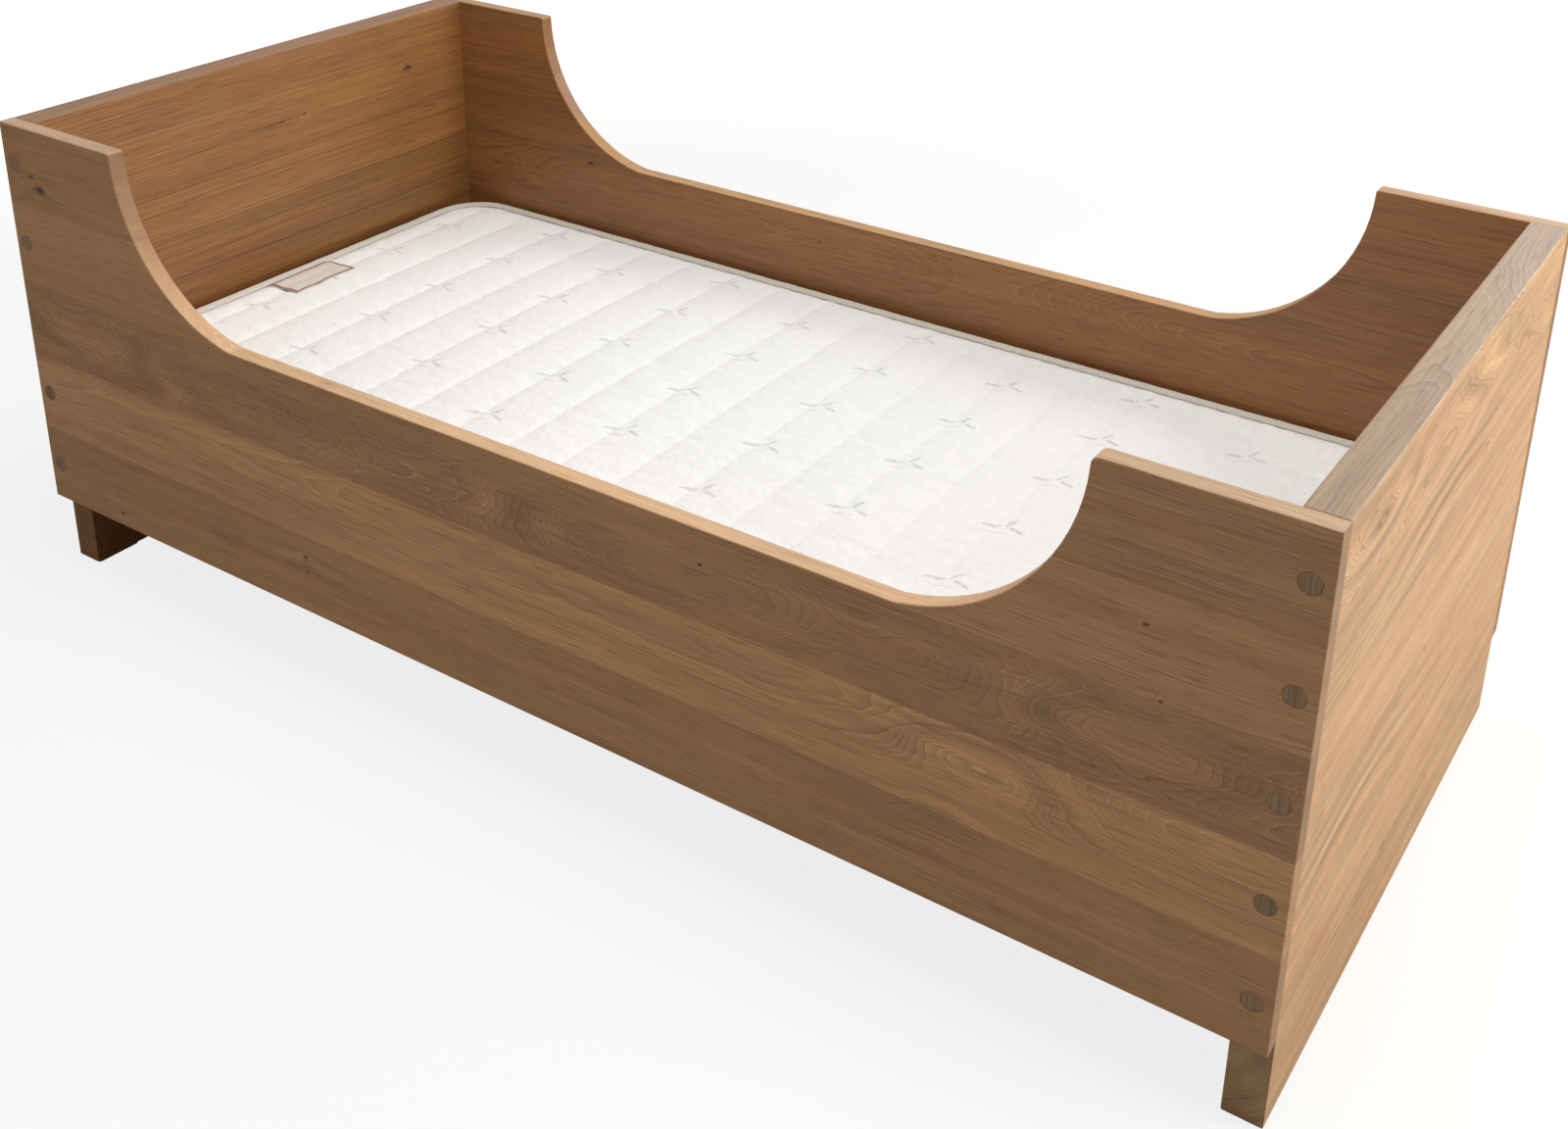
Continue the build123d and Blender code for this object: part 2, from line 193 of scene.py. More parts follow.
# wood
def woodMaterial(name, wood):
    # Rings round a wandering pith, cut by each board's own faces, so the flat faces show straight
    # lines and arches and the ends show arcs. Works in millimetres along, across and into the board.
    material, add = newMaterial(name)
    place = add(coordinates, out="Object")
    place = add(vector, {0: place, "Scale": 1 / mm}, "SCALE")
    axes = add(separate, [place]).node.outputs
    along, across, row = (axes[wood[key]] for key in ("along", "across", "row"))
    into = add(maths, [axes[wood["into"]], wood["face"]], "SUBTRACT")
    into = add(maths, [into], "ABSOLUTE")

    # which board this is, and where its pith lies
    acrossSpan, deepSpan = 300, 200  # the table holds shares of these, as a colour goes from 0 to 1
    count = len(wood["boards"])
    board = add(maths, [row, wood["firstBoard"]], "SUBTRACT")
    board = add(maths, [board, wood["boardWidth"]], "DIVIDE")
    inBoard = add(maths, [board], "FRACT")
    board = add(maths, [board], "FLOOR")
    share = add(maths, [board, 0.5], "ADD")
    share = add(maths, [share, count], "DIVIDE")
    table = add("ShaderNodeValToRGB", [share]).node
    table.color_ramp.interpolation = "CONSTANT"
    stops = table.color_ramp.elements
    stops.remove(stops[1])
    for number, (pithAcross, pithDeep, figure, tone) in enumerate(wood["boards"]):
        stop = stops.new(number / count) if number else stops[0]
        stop.color = (pithAcross / acrossSpan + 0.5, pithDeep / deepSpan, figure, tone)
    values = add("ShaderNodeSeparateColor", [table.outputs[0]]).node.outputs
    pithAcross = add(maths, [values[0], acrossSpan, -acrossSpan / 2], "MULTIPLY_ADD")
    pithDeep = add(maths, [values[1], deepSpan], "MULTIPLY")
    figure, tone = values[2], table.outputs[1]
    seed = add(maths, [board, 17.3, wood["seed"]], "MULTIPLY_ADD")

    offMiddle = add(maths, [inBoard, 0.5], "SUBTRACT")
    if wood["across"] == wood["row"]:
        fromMiddle = add(maths, [offMiddle, wood["boardWidth"]], "MULTIPLY")
    else:
        fromMiddle = add(maths, [across, wood["middle"]], "SUBTRACT")
    spot = add(combine, [along, fromMiddle, into])

    def grainNoise(sizes, seedStep, detail=1.0):
        # noise stretched to a real size along, across and into the board, in millimetres
        scaled = add(vector, [spot, [1 / s for s in sizes]], "MULTIPLY")
        shifted = add(maths, [seed, seedStep], "ADD")
        return add(noiseTexture, {"Vector": scaled, "W": shifted, "Scale": 1.0, "Detail": detail},
                   noise_dimensions="4D")

    def spread(value, *factors):
        # centres a noise on zero and stretches it, to about plus or minus half the factors
        value = add(maths, [value, 0.5], "SUBTRACT")
        for factor in factors:
            value = add(maths, [value, factor], "MULTIPLY")
        return value

    def awayFrom(x, y, halfLength, halfWidth):
        # distance on the board's face from a spot, in the spot's own half sizes
        gap = add(combine, [along, across])
        gap = add(vector, [gap, (x, y, 0)], "SUBTRACT")
        gap = add(vector, [gap, (1 / halfLength, 1 / halfWidth, 0)], "MULTIPLY")
        return add(vector, [gap], "LENGTH", out="Value")

    def bellOf(gap, steepness):
        # one at the spot, less and less around it
        square = add(maths, [gap, gap], "MULTIPLY")
        square = add(maths, [square, -steepness], "MULTIPLY")
        return add(maths, [square], "EXPONENT")

    # knots push the rings aside and are dark inside; a long one is a streak of bark in the grain
    bulge, knotDark = 0.0, 0.0
    ragged = spread(grainNoise((9, 7, 9), 15.1, 2.0), 1.1)
    for x, y, size, *stretch in wood["knots"]:
        halfLength = size * (stretch[0] if stretch else wood["knotStretch"])
        gap = add(maths, [ragged, awayFrom(x, y, halfLength, size)], "ADD")
        bulge = add(maths, [bellOf(gap, 0.22), size * 2.2, bulge], "MULTIPLY_ADD")
        core = add(mapRange, [gap, 0.9, 0.1, 0.0, 0.95], interpolation_type="SMOOTHSTEP")
        knotDark = add(maths, [core, knotDark], "MAXIMUM")

    # broader swells where the saw crossed a bump of the tree: rings close into ovals there
    swells = 0.0
    for *where, rings in wood["swells"]:
        bell = bellOf(awayFrom(*where), 1.2)
        bulge = add(maths, [bell, rings * wood["ringWidth"], bulge], "MULTIPLY_ADD")
        swells = add(maths, [bell, swells], "MAXIMUM")

    # distance from the pith, which wanders along the board
    sway = spread(grainNoise((620, 4000, 4000), 1.1, 0.0), 150, figure)
    dive = spread(grainNoise((430, 4000, 4000), 2.3, 0.0), 260, figure)
    curl = spread(grainNoise((120, 34, 40), 3.7, 1.5), 26, figure)
    ripple = spread(grainNoise((60, 14, 20), 4.9, 1.0), 3.0)
    dx = add(maths, [fromMiddle, pithAcross], "SUBTRACT")
    dx = add(maths, [dx, sway], "ADD")
    dz = add(maths, [into, pithDeep], "SUBTRACT")
    dz = add(maths, [dz, dive], "ADD")
    both = add(combine, [dx, dz])
    radius = add(vector, [both], "LENGTH", out="Value")
    for extra in (curl, ripple, bulge):
        radius = add(maths, [radius, extra], "ADD")
    uneven = add(noiseTexture, {"W": radius, "Scale": 1 / 19}, noise_dimensions="1D")
    radius = add(maths, [uneven, 14, radius], "MULTIPLY_ADD")

    # broad dark and light bands follow the rings, clearest round the swells
    band = add(maths, [radius, 2 * pi / 23], "MULTIPLY")
    band = add(maths, [band], "SINE")
    bandShare = add(maths, [swells, 0.28, 0.06], "MULTIPLY_ADD")
    for factor in (bandShare, wood["bands"]):
        band = add(maths, [band, factor], "MULTIPLY")

    # late wood darkens each ring towards its end, in some rings and patches more than in others
    phase = add(maths, [radius, wood["ringWidth"]], "DIVIDE")
    ring = add(maths, [phase], "FRACT")
    late = add(maths, [ring, 2.6], "POWER")
    ringNumber = add(maths, [phase], "FLOOR")
    ringNumber = add(maths, [ringNumber, seed], "ADD")
    strong = add("ShaderNodeTexWhiteNoise", {"W": ringNumber}, noise_dimensions="1D")
    strong = add(maths, [strong, 0.65, 0.35], "MULTIPLY_ADD")
    clear = add(mapRange, [grainNoise((330, 60, 70), 12.3), 0.36, 0.62, 0.3])
    clear = add(maths, [swells, 0.35, clear], "MULTIPLY_ADD")
    # pores of the early wood hold a pale filler, which shows in patches
    early = add(mapRange, [ring, 0.2, 0.04])
    filled = add(mapRange, [grainNoise((210, 48, 50), 13.9), 0.5, 0.66, 0.0, wood["filler"]])
    early = add(maths, [early, filled], "MULTIPLY")

    # where the grain is cut across, rings are clear and fibres don't show
    facing = add(coordinates, out="Normal")
    facing = add(separate, [facing]).node.outputs
    upward = add(mapRange, [facing[2], 0.6, 0.95])
    facing = add(maths, [facing[wood["along"]]], "ABSOLUTE")
    longGrain = add(mapRange, [facing, 0.15, 0.6, 1.0, 0.15])
    cutRings = add(maths, [longGrain, -0.6, 1.6], "MULTIPLY_ADD")
    for factor in (strong, clear, cutRings):
        late = add(maths, [late, factor], "MULTIPLY")

    # colour: broad streaks first, then late and early wood, painted sheen on the top edges, and pores
    colours = {key: hexColour(value) for key, value in wood["colours"].items()}
    broad = add(mapRange, [grainNoise((520, 17, 22), 5.3, 2.0), 0.12, 0.88])
    colour = add(mixer, {0: broad, 6: colours["light"], 7: colours["mid"]}, **inColour)
    redness = add(mapRange, [grainNoise((760, 26, 30), 6.1, 2.0), 0.5, 0.66, 0.0, 0.34])
    greenness = add(mapRange, [grainNoise((900, 40, 40), 7.7, 2.0), 0.52, 0.68, 0.0, 0.3])
    ringMix = add(maths, [late, wood["ringStrength"]], "MULTIPLY")
    # painted sheen: upward faces are drawn paler, standing in for light glancing off them; strongly
    # along the sides, greyer at the foot
    paintedTopSheen = add(maths, [upward, wood["topSheenShare"]], "MULTIPLY")
    # real pores are a quarter of a millimetre wide; drawn at over a millimetre so that they show
    pore = add(mapRange, [grainNoise((38, 1.3, 1.3), 9.1, 0.0), 0.56, 0.78, 0.0, 0.5])
    pore = add(maths, [pore, longGrain], "MULTIPLY")
    for share, key in (
        (redness, "red"), (greenness, "olive"), (ringMix, "dark"), (early, "pale"), (paintedTopSheen, "pale"),
        (pore, "dark"),
    ):
        colour = add(mixer, {0: share, 6: colour, 7: colours[key]}, **inColour)

    # level: the board's own tone, fibres, clouds and bands
    fibre = grainNoise((70, 1.9, 1.9), 8.9, 2.0)
    thread = grainNoise((190, 1.7, 3.0), 11.9, 1.0)
    cloud = grainNoise((150, 60, 60), 10.7, 1.0)
    level = add(maths, [tone, 1.5, 0.25], "MULTIPLY_ADD")
    level = add(maths, [level, wood["level"]], "MULTIPLY")
    for value, amount in ((fibre, 0.3), (thread, wood["threads"]), (cloud, 0.2)):
        level = add(maths, [spread(value, amount, longGrain), level], "ADD")
    level = add(maths, [level, band], "ADD")
    # cut ends drink more oil and look darker; an end level lower than usual adds painted shade
    ends = add(mapRange, [facing, 0.45, 0.95, 1.0, wood["endLevel"]])
    # painted light: upward faces are drawn lighter or darker, panel by panel, for how the light falls
    # on them
    tops = add(maths, [upward, wood["topLightLevel"] - 1, 1.0], "MULTIPLY_ADD")
    # glue lines between boards
    edge = add(maths, [offMiddle], "ABSOLUTE")
    glue = add(mapRange, [edge, 0.5 - 0.55 / wood["boardWidth"], 0.5, 1.0, 0.8])
    for factor in (ends, tops, glue):
        level = add(maths, [level, factor], "MULTIPLY")
    colour = add(vector, {0: colour, "Scale": level}, "SCALE")
    colour = add(mixer, {0: knotDark, 6: colour, 7: colours["knot"]}, **inColour)

    roughness = add(mapRange, [fibre, 0.0, 1.0, wood["gloss"] - 0.08, wood["gloss"] + 0.12])
    height = add(maths, [pore, -1.0, fibre], "MULTIPLY_ADD")
    height = add(maths, [late, 0.07, height], "MULTIPLY_ADD")
    finishMaterial(add, colour, roughness, height, 0.12)
    return material


# Oiled elm: light brown with reddish and olive streaks, open pores and a low, even sheen
elm = {
    "light": "#c79868", "mid": "#b48153", "dark": "#805434", "red": "#a97350", "olive": "#a1835a",
    "knot": "#35241a", "pale": "#d8c09c",
}
# painted light: the foot's face is drawn paler and less saturated, as in sunlight, with clear brown
# lines
sunnyElm = dict(elm, light="#cba374", mid="#b88c60", dark="#7d5434", red="#b07d5b", olive="#a98d64",
                pale="#e3d2b6")
# painted shade: the inner faces are drawn deeper and more golden, standing in for the shade they lie in
shadedGoldenElm = dict(elm, light="#ae7a45", mid="#9a6536", dark="#623a1d", red="#8f552d", olive="#8a6936",
                 pale="#c79f6c")
plugElm = dict(elm, light="#a3825f", mid="#8a6a4b", dark="#4f3a29", red="#7f5d43", olive="#84714f",
               pale="#c0a27c")
pine = {
    "light": "#e3c79a", "mid": "#d9b681", "dark": "#b98952", "red": "#d6a878", "olive": "#d3b98a",
    "knot": "#6a4426", "pale": "#efdcb8",
}
# along, across, row and into say which axis is which: 0 is x, 1 is y and 2 is z
common = {
    "boardWidth": 100, "ringWidth": 3.6, "ringStrength": 0.55, "endLevel": 0.82, "gloss": 0.46,
    "topLightLevel": 1.0, "topSheenShare": 0.0, "level": 0.95, "filler": 0.25, "threads": 0.46, "bands": 0.3,
    "colours": elm, "knots": [], "knotStretch": 1.8, "swells": [],
}
sideBoards = dict(common, along=0, across=2, row=2, into=1, firstBoard=100)
endBoards = dict(common, along=1, across=2, row=2, into=0, firstBoard=0)

# boards run from the lowest up: pith across, pith depth, figure, tone (0.5 is the middle)
# a knot has its place along and across, its half width and, for a streak, its stretch
# a swell has its place, its half length and width, and the rings that it adds
frontPanel = dict(
    sideBoards, face=-375, seed=3.1, ringWidth=2.3, ringStrength=0.6, filler=0.4, bands=0.6,
    # painted shade: the front panel's cut ends, on its scoops, are drawn darker than the oil alone
    # makes them
    endLevel=0.68, topLightLevel=1.15, topSheenShare=0.36, level=0.93,
    boards=[
        (110, 60, 0.16, 0.44), (30, 55, 0.42, 0.62), (-10, 48, 0.85, 0.4), (-90, 60, 0.22, 0.52),
        (70, 40, 0.3, 0.45),
    ],
    knots=[
        (-739, 526, 9), (-752, 540, 3, 3.5), (658, 467, 3.2), (677, 402, 2), (220, 364, 2.2),
        (-42, 334, 1.6), (-333, 174, 3.5), (-333, 154, 3.0), (-666, 118, 3.5),
    ],
    swells=[
        (-700, 345, 130, 30, 8), (-560, 322, 90, 24, 6), (485, 205, 55, 20, 6), (640, 352, 120, 28, 9),
        (520, 268, 95, 26, 9), (-332, 165, 60, 18, 3), (-40, 340, 90, 22, 4),
    ],
)
# painted shade: the rear panel is drawn in the deeper elm and at a lower level, for the shade on its
# inner face
rearPanel = dict(
    sideBoards, face=375, seed=11.4, colours=shadedGoldenElm, level=0.85, ringStrength=0.75, endLevel=0.95,
    topLightLevel=1.35, topSheenShare=0.5,
    boards=[
        (60, 60, 0.3, 0.5), (-70, 60, 0.25, 0.55), (20, 50, 0.6, 0.48), (-100, 70, 0.2, 0.4),
        (90, 60, 0.2, 0.47),
    ],
    knots=[
        (-648, 345, 3), (-690, 362, 1.6, 24), (-518, 397, 5), (-122, 367, 2), (58, 384, 2),
        (241, 323, 2.5),
    ],
)
# painted shade: the head panel is drawn in a still deeper elm and at a lower level, for the shade on
# its inner face
headPanel = dict(
    endBoards, face=-800, seed=23.9, colours=dict(shadedGoldenElm, light="#ad793f", mid="#996431"),
    level=0.8, ringStrength=1.0, threads=0.62,
    boards=[
        (80, 60, 0.2, 0.5), (-60, 60, 0.3, 0.5), (100, 60, 0.2, 0.5), (-140, 60, 0.06, 0.46),
        (140, 50, 0.05, 0.52), (120, 60, 0.12, 0.53),
    ],
    knots=[(242, 525, 8), (48, 506, 2.5), (-8, 505, 1.9, 30), (-150, 441, 1.4, 26)],
)
footPanel = dict(
    endBoards, face=800, seed=37.2, colours=sunnyElm, ringWidth=2.6, ringStrength=0.95, filler=0.5,
    topLightLevel=0.6, topSheenShare=0.15, threads=0.72, bands=0.9,
    boards=[
        (60, 70, 0.2, 0.44), (-80, 60, 0.25, 0.5), (90, 40, 0.45, 0.5), (-60, 60, 0.3, 0.55),
        (110, 60, 0.2, 0.52), (-12, 40, 0.6, 0.55),
    ],
    knots=[(120, 454, 4), (-330, 347, 2)],
    swells=[
        (-250, 550, 120, 24, 9), (60, 560, 120, 22, 6), (-40, 470, 170, 40, 7), (-200, 250, 200, 34, 5),
    ],
)
plugWood = dict(
    common, along=2, across=0, row=2, into=1, face=0, middle=0, firstBoard=100, seed=51.0,
    ringWidth=3.1, ringStrength=0.9, colours=plugElm,
    boards=[
        (-140, 60, 0.1, 0.5), (-120, 90, 0.1, 0.42), (130, 60, 0.1, 0.56), (140, 80, 0.1, 0.46),
        (-150, 60, 0.1, 0.5),
    ],
)
# painted shade: the rear plugs sit in the shaded wood, so they are drawn deeper too
shadedRearPlugWood = dict(plugWood, level=0.72, seed=57.0)
ledgerWood = dict(sideBoards, face=0, seed=63.0, boards=[(60, 40, 0.3, 0.55)])
chance = random.Random(5)
slatWood = dict(
    common, along=1, across=0, row=0, into=2, face=160, firstBoard=-770, boardWidth=110, seed=71.0,
    ringWidth=5.0, ringStrength=0.7, colours=pine, gloss=0.6, endLevel=0.9,
    boards=[
        (chance.uniform(-120, 120), chance.uniform(20, 90), chance.uniform(0.15, 0.5),
         chance.uniform(0.38, 0.62)) for slat in range(14)
    ],
    knots=[(140, -480, 7), (-210, 178, 8), (60, 402, 6), (-90, -145, 5)],
)

# each wood goes on every node with these words in its name
for words, materialName, wood in (
    ("front_side_panel", "oiledElm_front_side_panel", frontPanel),
    ("rear_side_panel", "oiledElm_rear_side_panel", rearPanel),
    ("head_panel", "oiledElm_head_panel", headPanel),
    ("foot_panel", "oiledElm_foot_panel", footPanel),
    ("front_plugs", "oiledElmPlug", plugWood), ("rear_plugs", "shadedElmPlug", shadedRearPlugWood),
    ("_ledger", "oiledElmLedger", ledgerWood), ("slat_", "planedPine", slatWood),
):
    material = woodMaterial(materialName, wood)
    for name, node in nodes.items():
        if words in name:
            setMaterial(node, material)
print("wood done")


# metal
def metalMaterial(name, colour, roughness, grainMm):
    material, add = newMaterial(name)
    place = add(coordinates, out="Object")
    speckle = add(noiseTexture, {"Vector": place, "Scale": 1 / (grainMm * mm), "Detail": 3.0})
    shade = shaded(add, hexColour(colour)[:3], speckle, 0.8, 1.15)
    rough = add(mapRange, [speckle, 0.0, 1.0, roughness - 0.1, roughness + 0.15])
    finishMaterial(add, shade, rough, speckle, 0.02, Metallic=1.0)
    return material


# Zinc-plated steel: pale grey with a faint mottle, half gloss
zinc = metalMaterial("zincPlatedSteel", "#c3c2bd", 0.34, 1.5)
# Galvanised wire: duller, with spangle at the wire's own size
galvanised = metalMaterial("galvanisedWire", "#aeb0b0", 0.45, 0.8)
for screwNode in ("corner_screws", "ledger_screws"):
    setMaterial(nodes[screwNode], zinc)
setMaterial(nodes["webbing_staples"], galvanised)
print("metal done")


# mattress
mattress = {
    "length": 1500, "width": 700, "bottom": 178.3, "top": 298.3, "corner": 75,
    "tapeReach": 14, "sideInset": 2.8, "sideDraw": 3, "sideRows": 12, "folds": 1.5,
}
quilt = {
    "seamPitch": 76, "firstSeam": 56, "crown": 5.5, "puff": 2.3, "startPuff": 0.8, "cell": 6.4,
    "edgeInset": 5,  # the quilt's edge lies under the tape
    "underTape": 13,
    "tuck": 3.4,  # how far below the top its edge lies
    "shoulder": 24,  # how far in from the tape the surface comes up to its full height
    "fade": 55,  # the seams fade out this far from the long edges
    "drift": 1.5, "gather": 0.55, "lump": 0.55, "smallLump": 0.16, "groove": 0.9, "skirt": 9,
}
clothSettings = {
    "quality": 4, "mass": 0.3, "tension_stiffness": 18, "compression_stiffness": 18,
    "shear_stiffness": 8, "bending_stiffness": 1.5, "use_pressure": True,
    "uniform_pressure_force": 4.0, "vertex_group_mass": "pins", "shrink_min": -0.012,
}
clothFrames = 20
halfLength, halfWidth = mattress["length"] / 2, mattress["width"] / 2
# the middles of the rounded corners
cornerX, cornerY = halfLength - mattress["corner"], halfWidth - mattress["corner"]


def ramp(value, start, span):
    # goes from 0 to 1 over the span
    return min(1, max(0, (value - start) / span))


def lumps(*spot):
    # a smooth random value that depends on the spot alone
    return noise.noise(Vector(spot))


def insideEdge(x, y):
    # how far a point lies inside the mattress's outline
    qx, qy = abs(x) - cornerX, abs(y) - cornerY
    outside = sqrt(max(qx, 0) ** 2 + max(qy, 0) ** 2)
    return mattress["corner"] - outside - min(max(qx, qy), 0)


def roundedRing(inset, step):
    # points round the mattress, inset from its outline and about a step apart, each with its
    # outward direction
    corner = mattress["corner"] - inset
    arc = round(corner * pi / 2 / step)
    corners = []
    for quarter, (sx, sy) in enumerate(((1, 1), (-1, 1), (-1, -1), (1, -1))):
        for number in range(arc + 1):
            angle = (quarter + number / arc) * pi / 2
            outward = Vector((cos(angle), sin(angle), 0))
            corners.append((Vector((sx * cornerX, sy * cornerY, 0)) + corner * outward, outward))
    ring = []
    for (a, outA), (b, outB) in zip(corners, corners[1:] + corners[:1]):
        count = max(1, round((b - a).length / step))
        ring += [(a.lerp(b, n / count), outA.lerp(outB, n / count).normalized()) for n in range(count)]
    return ring


def meshObject(name, bm):
    mesh = bpy.data.meshes.new(name)
    bm.to_mesh(mesh)
    bm.free()
    return newObject(name, mesh)


def applyModifiers(piece):
    # the modifiers' result becomes a plain mesh
    depsgraph = bpy.context.evaluated_depsgraph_get()
    mesh = bpy.data.meshes.new_from_object(piece.evaluated_get(depsgraph))
    piece.modifiers.clear()
    old = piece.data
    piece.data = mesh
    bpy.data.meshes.remove(old)
    mesh.name = piece.name


seamCount = int((mattress["length"] - quilt["firstSeam"]) // quilt["seamPitch"])
seamXs = [quilt["firstSeam"] - halfLength + n * quilt["seamPitch"] for n in range(seamCount)]


def toSeam(x):
    return min(abs(x - seam) for seam in seamXs)


def seamHeight(x, y):
    # the filling is thickest in the middle and thins out towards all four edges
    thick = (1 - (y / halfWidth) ** 2) * (1 - (x / halfLength) ** 6)
    return mattress["top"] + quilt["crown"] * thick


def makeQuilt():
    lines = [-halfLength, *seamXs, halfLength]
    columns = []  # x and share of the way to the next seam
    for left, right in zip(lines, lines[1:]):
        count = round((right - left) / quilt["cell"])
        columns += [(left + (right - left) * n / count, n / count) for n in range(count)]
    columns.append((halfLength, 0))
    rowCount = round(mattress["width"] / quilt["cell"])
    rows = [mattress["width"] * (n / rowCount - 0.5) for n in range(rowCount + 1)]

    bm = bmesh.new()
    pins = bm.verts.layers.deform.new()
    grid = {}
    low = mattress["top"] - quilt["tuck"]
    for i, (x, share) in enumerate(columns):
        for j, y in enumerate(rows):
            inside = insideEdge(x, y)
            if inside < quilt["edgeInset"]:
                continue
            rise = ramp(inside, quilt["underTape"], quilt["shoulder"])
            rise = rise * (2 - rise)
            z = low + (seamHeight(x, y) - low) * rise + quilt["startPuff"] * rise * sin(pi * share)
            vert = bm.verts.new((x * mm, y * mm, z * mm))
            hold = 0 if share else ramp(halfWidth - abs(y), quilt["fade"] * 0.55, quilt["fade"] * 0.45)
            vert[pins][0] = 1 if inside < quilt["underTape"] else hold
            grid[i, j] = vert
    for i in range(len(columns) - 1):
        for j in range(rowCount):
            corners = [grid.get(key) for key in ((i, j), (i + 1, j), (i + 1, j + 1), (i, j + 1))]
            if None not in corners:
                bm.faces.new(corners)
    bmesh.ops.delete(bm, geom=[v for v in bm.verts if not v.link_faces], context="VERTS")
    piece = meshObject("quilted_top", bm)
    piece.vertex_groups.new(name="pins")
    return piece


def swell(piece):
    # air pressure lifts the channels between their sewn seams
    lift, drift = quilt["puff"] * mm, quilt["drift"] * mm
    verts = piece.data.vertices
    before = [v.co.copy() for v in verts]
    scene = bpy.context.scene
    cloth = piece.modifiers.new("cloth", "CLOTH")
    for timed in (scene, cloth.point_cache):
        timed.frame_start, timed.frame_end = 1, clothFrames
    for name, value in clothSettings.items():
        setattr(cloth.settings, name, value)
    cloth.settings.effector_weights.gravity = 0
    for step in range(1, clothFrames + 1):
        scene.frame_set(step)
    applyModifiers(piece)
    scene.frame_set(1)
    for vert, start in zip(piece.data.vertices, before):
        move = vert.co - start
        vert.co.z = start.z + lift * tanh(move.z / lift)
        vert.co.x = start.x + max(-drift, min(drift, move.x))
        vert.co.y = start.y + max(-drift, min(drift, move.y))


def pucker(piece):
    # thread draws the cloth in: small gathers run out of each seam, and the padding is a little lumpy
    for vert in piece.data.vertices:
        x, y, z = vert.co / mm
        if z < mattress["top"] - 3:
            continue
        nearest = toSeam(x)
        sewn = ramp(halfWidth - abs(y), 30, 25)
        loose = ramp(insideEdge(x, y), 14, 12)
        gather = quilt["gather"] * lumps(x / 30, y / 9, 0.3) * exp(-nearest / 11) * sewn
        lump = quilt["lump"] * lumps(x / 24, y / 31, 4.7)
        lump += quilt["smallLump"] * lumps(x / 9, y / 11, 8.1)
        groove = quilt["groove"] * exp(-(nearest / 2.6) ** 2) * sewn
        vert.co.z += (gather + lump * (1 - exp(-nearest / 8)) - groove) * loose * mm


def closeBelow(piece):
    # the sheet gets short sides and a flat underside, out of sight
    bm = bmesh.new()
    bm.from_mesh(piece.data)
    made = bmesh.ops.extrude_edge_only(bm, edges=[e for e in bm.edges if e.is_boundary])["geom"]
    for vert in made:
        if isinstance(vert, bmesh.types.BMVert):
            vert.co.z = (mattress["top"] - quilt["skirt"]) * mm
    bmesh.ops.edgeloop_fill(bm, edges=[e for e in made if isinstance(e, bmesh.types.BMEdge)])
    bmesh.ops.recalc_face_normals(bm, faces=bm.faces)
    bm.to_mesh(piece.data)
    bm.free()


quiltedTop = makeQuilt()
print("quilt laid out")
swell(quiltedTop)
finer = quiltedTop.modifiers.new("finer", "SUBSURF")
finer.levels = finer.render_levels = 1
applyModifiers(quiltedTop)
pucker(quiltedTop)
closeBelow(quiltedTop)
quiltedTop.data.shade_smooth()
print("quilt swollen:", len(quiltedTop.data.polygons), "faces")


def makeBody():
    # side border and underside in one closed form, drawn in between its two taped edges
    bottom, top, reach = mattress["bottom"], mattress["top"], mattress["tapeReach"]
    profile = [(reach + 4, bottom), (reach * 0.55, bottom + 1.2), (3.4, bottom + reach * 0.5)]
    for n in range(mattress["sideRows"] + 1):
        share = n / mattress["sideRows"]
        profile.append((mattress["sideInset"] + mattress["sideDraw"] * sin(pi * share) ** 0.8,
                        bottom + reach + (top - bottom - 2 * reach) * share))
    profile += [(3.4, top - reach * 0.5), (reach * 0.55, top - 3), (reach + 4, top - 4)]
    bm = bmesh.new()
    outline = roundedRing(0, 9)
    rings = []
    for inset, z in profile:
        folds = mattress["folds"] if reach < z - bottom < top - bottom - reach + 1 else 0
        ring = []
        for spot, outward in outline:
            x, y = spot.xy
            fold = lumps(x / 42, y / 42, z / 160) + 0.4 * lumps(x / 15, y / 15, z / 60)
            spot = spot + outward * (folds * (fold - 0.5) - inset)
            ring.append(bm.verts.new((spot.x * mm, spot.y * mm, z * mm)))
        rings.append(ring)
    for low, high in zip(rings, rings[1:]):
        for n in range(len(low)):
            bm.faces.new((low[n - 1], low[n], high[n], high[n - 1]))
    bm.faces.new(rings[0][::-1])
    bm.faces.new(rings[-1])
    bmesh.ops.recalc_face_normals(bm, faces=bm.faces)
    body = meshObject("mattress_body", bm)
    body.data.shade_smooth()
    return body


mattressBody = makeBody()
print("mattress body made")


def geometryTree(name, path, sizes, output):
    # a node group for a modifier, what adds its nodes, and its inputs
    tree = bpy.data.node_groups.new(name, "GeometryNodeTree")
    for label in (path, *sizes, "Cloth"):
        kind = {path: "Geometry", "Cloth": "Material"}.get(label, "Float")
        tree.interface.new_socket(label, in_out="INPUT", socket_type="NodeSocket" + kind)
    tree.interface.new_socket(output, in_out="OUTPUT", socket_type="NodeSocketGeometry")
    add = partial(addNode, tree)
    return tree, add, add("NodeGroupInput").node.outputs


def runTree(piece, tree, values):
    # sets each input by its socket's identifier, before the piece is first evaluated
    modifier = piece.modifiers.new(tree.name, "NODES")
    modifier.node_group = tree
    for item in tree.interface.items_tree:
        if item.in_out == "INPUT" and item.name in values:
            modifier[item.identifier] = values[item.name]


def finishTree(add, geometry, cloth):
    geometry = add("GeometryNodeRealizeInstances", {"Geometry": geometry})
    geometry = add("GeometryNodeSetMaterial", {"Geometry": geometry, "Material": cloth})
    add("NodeGroupOutput", [geometry])


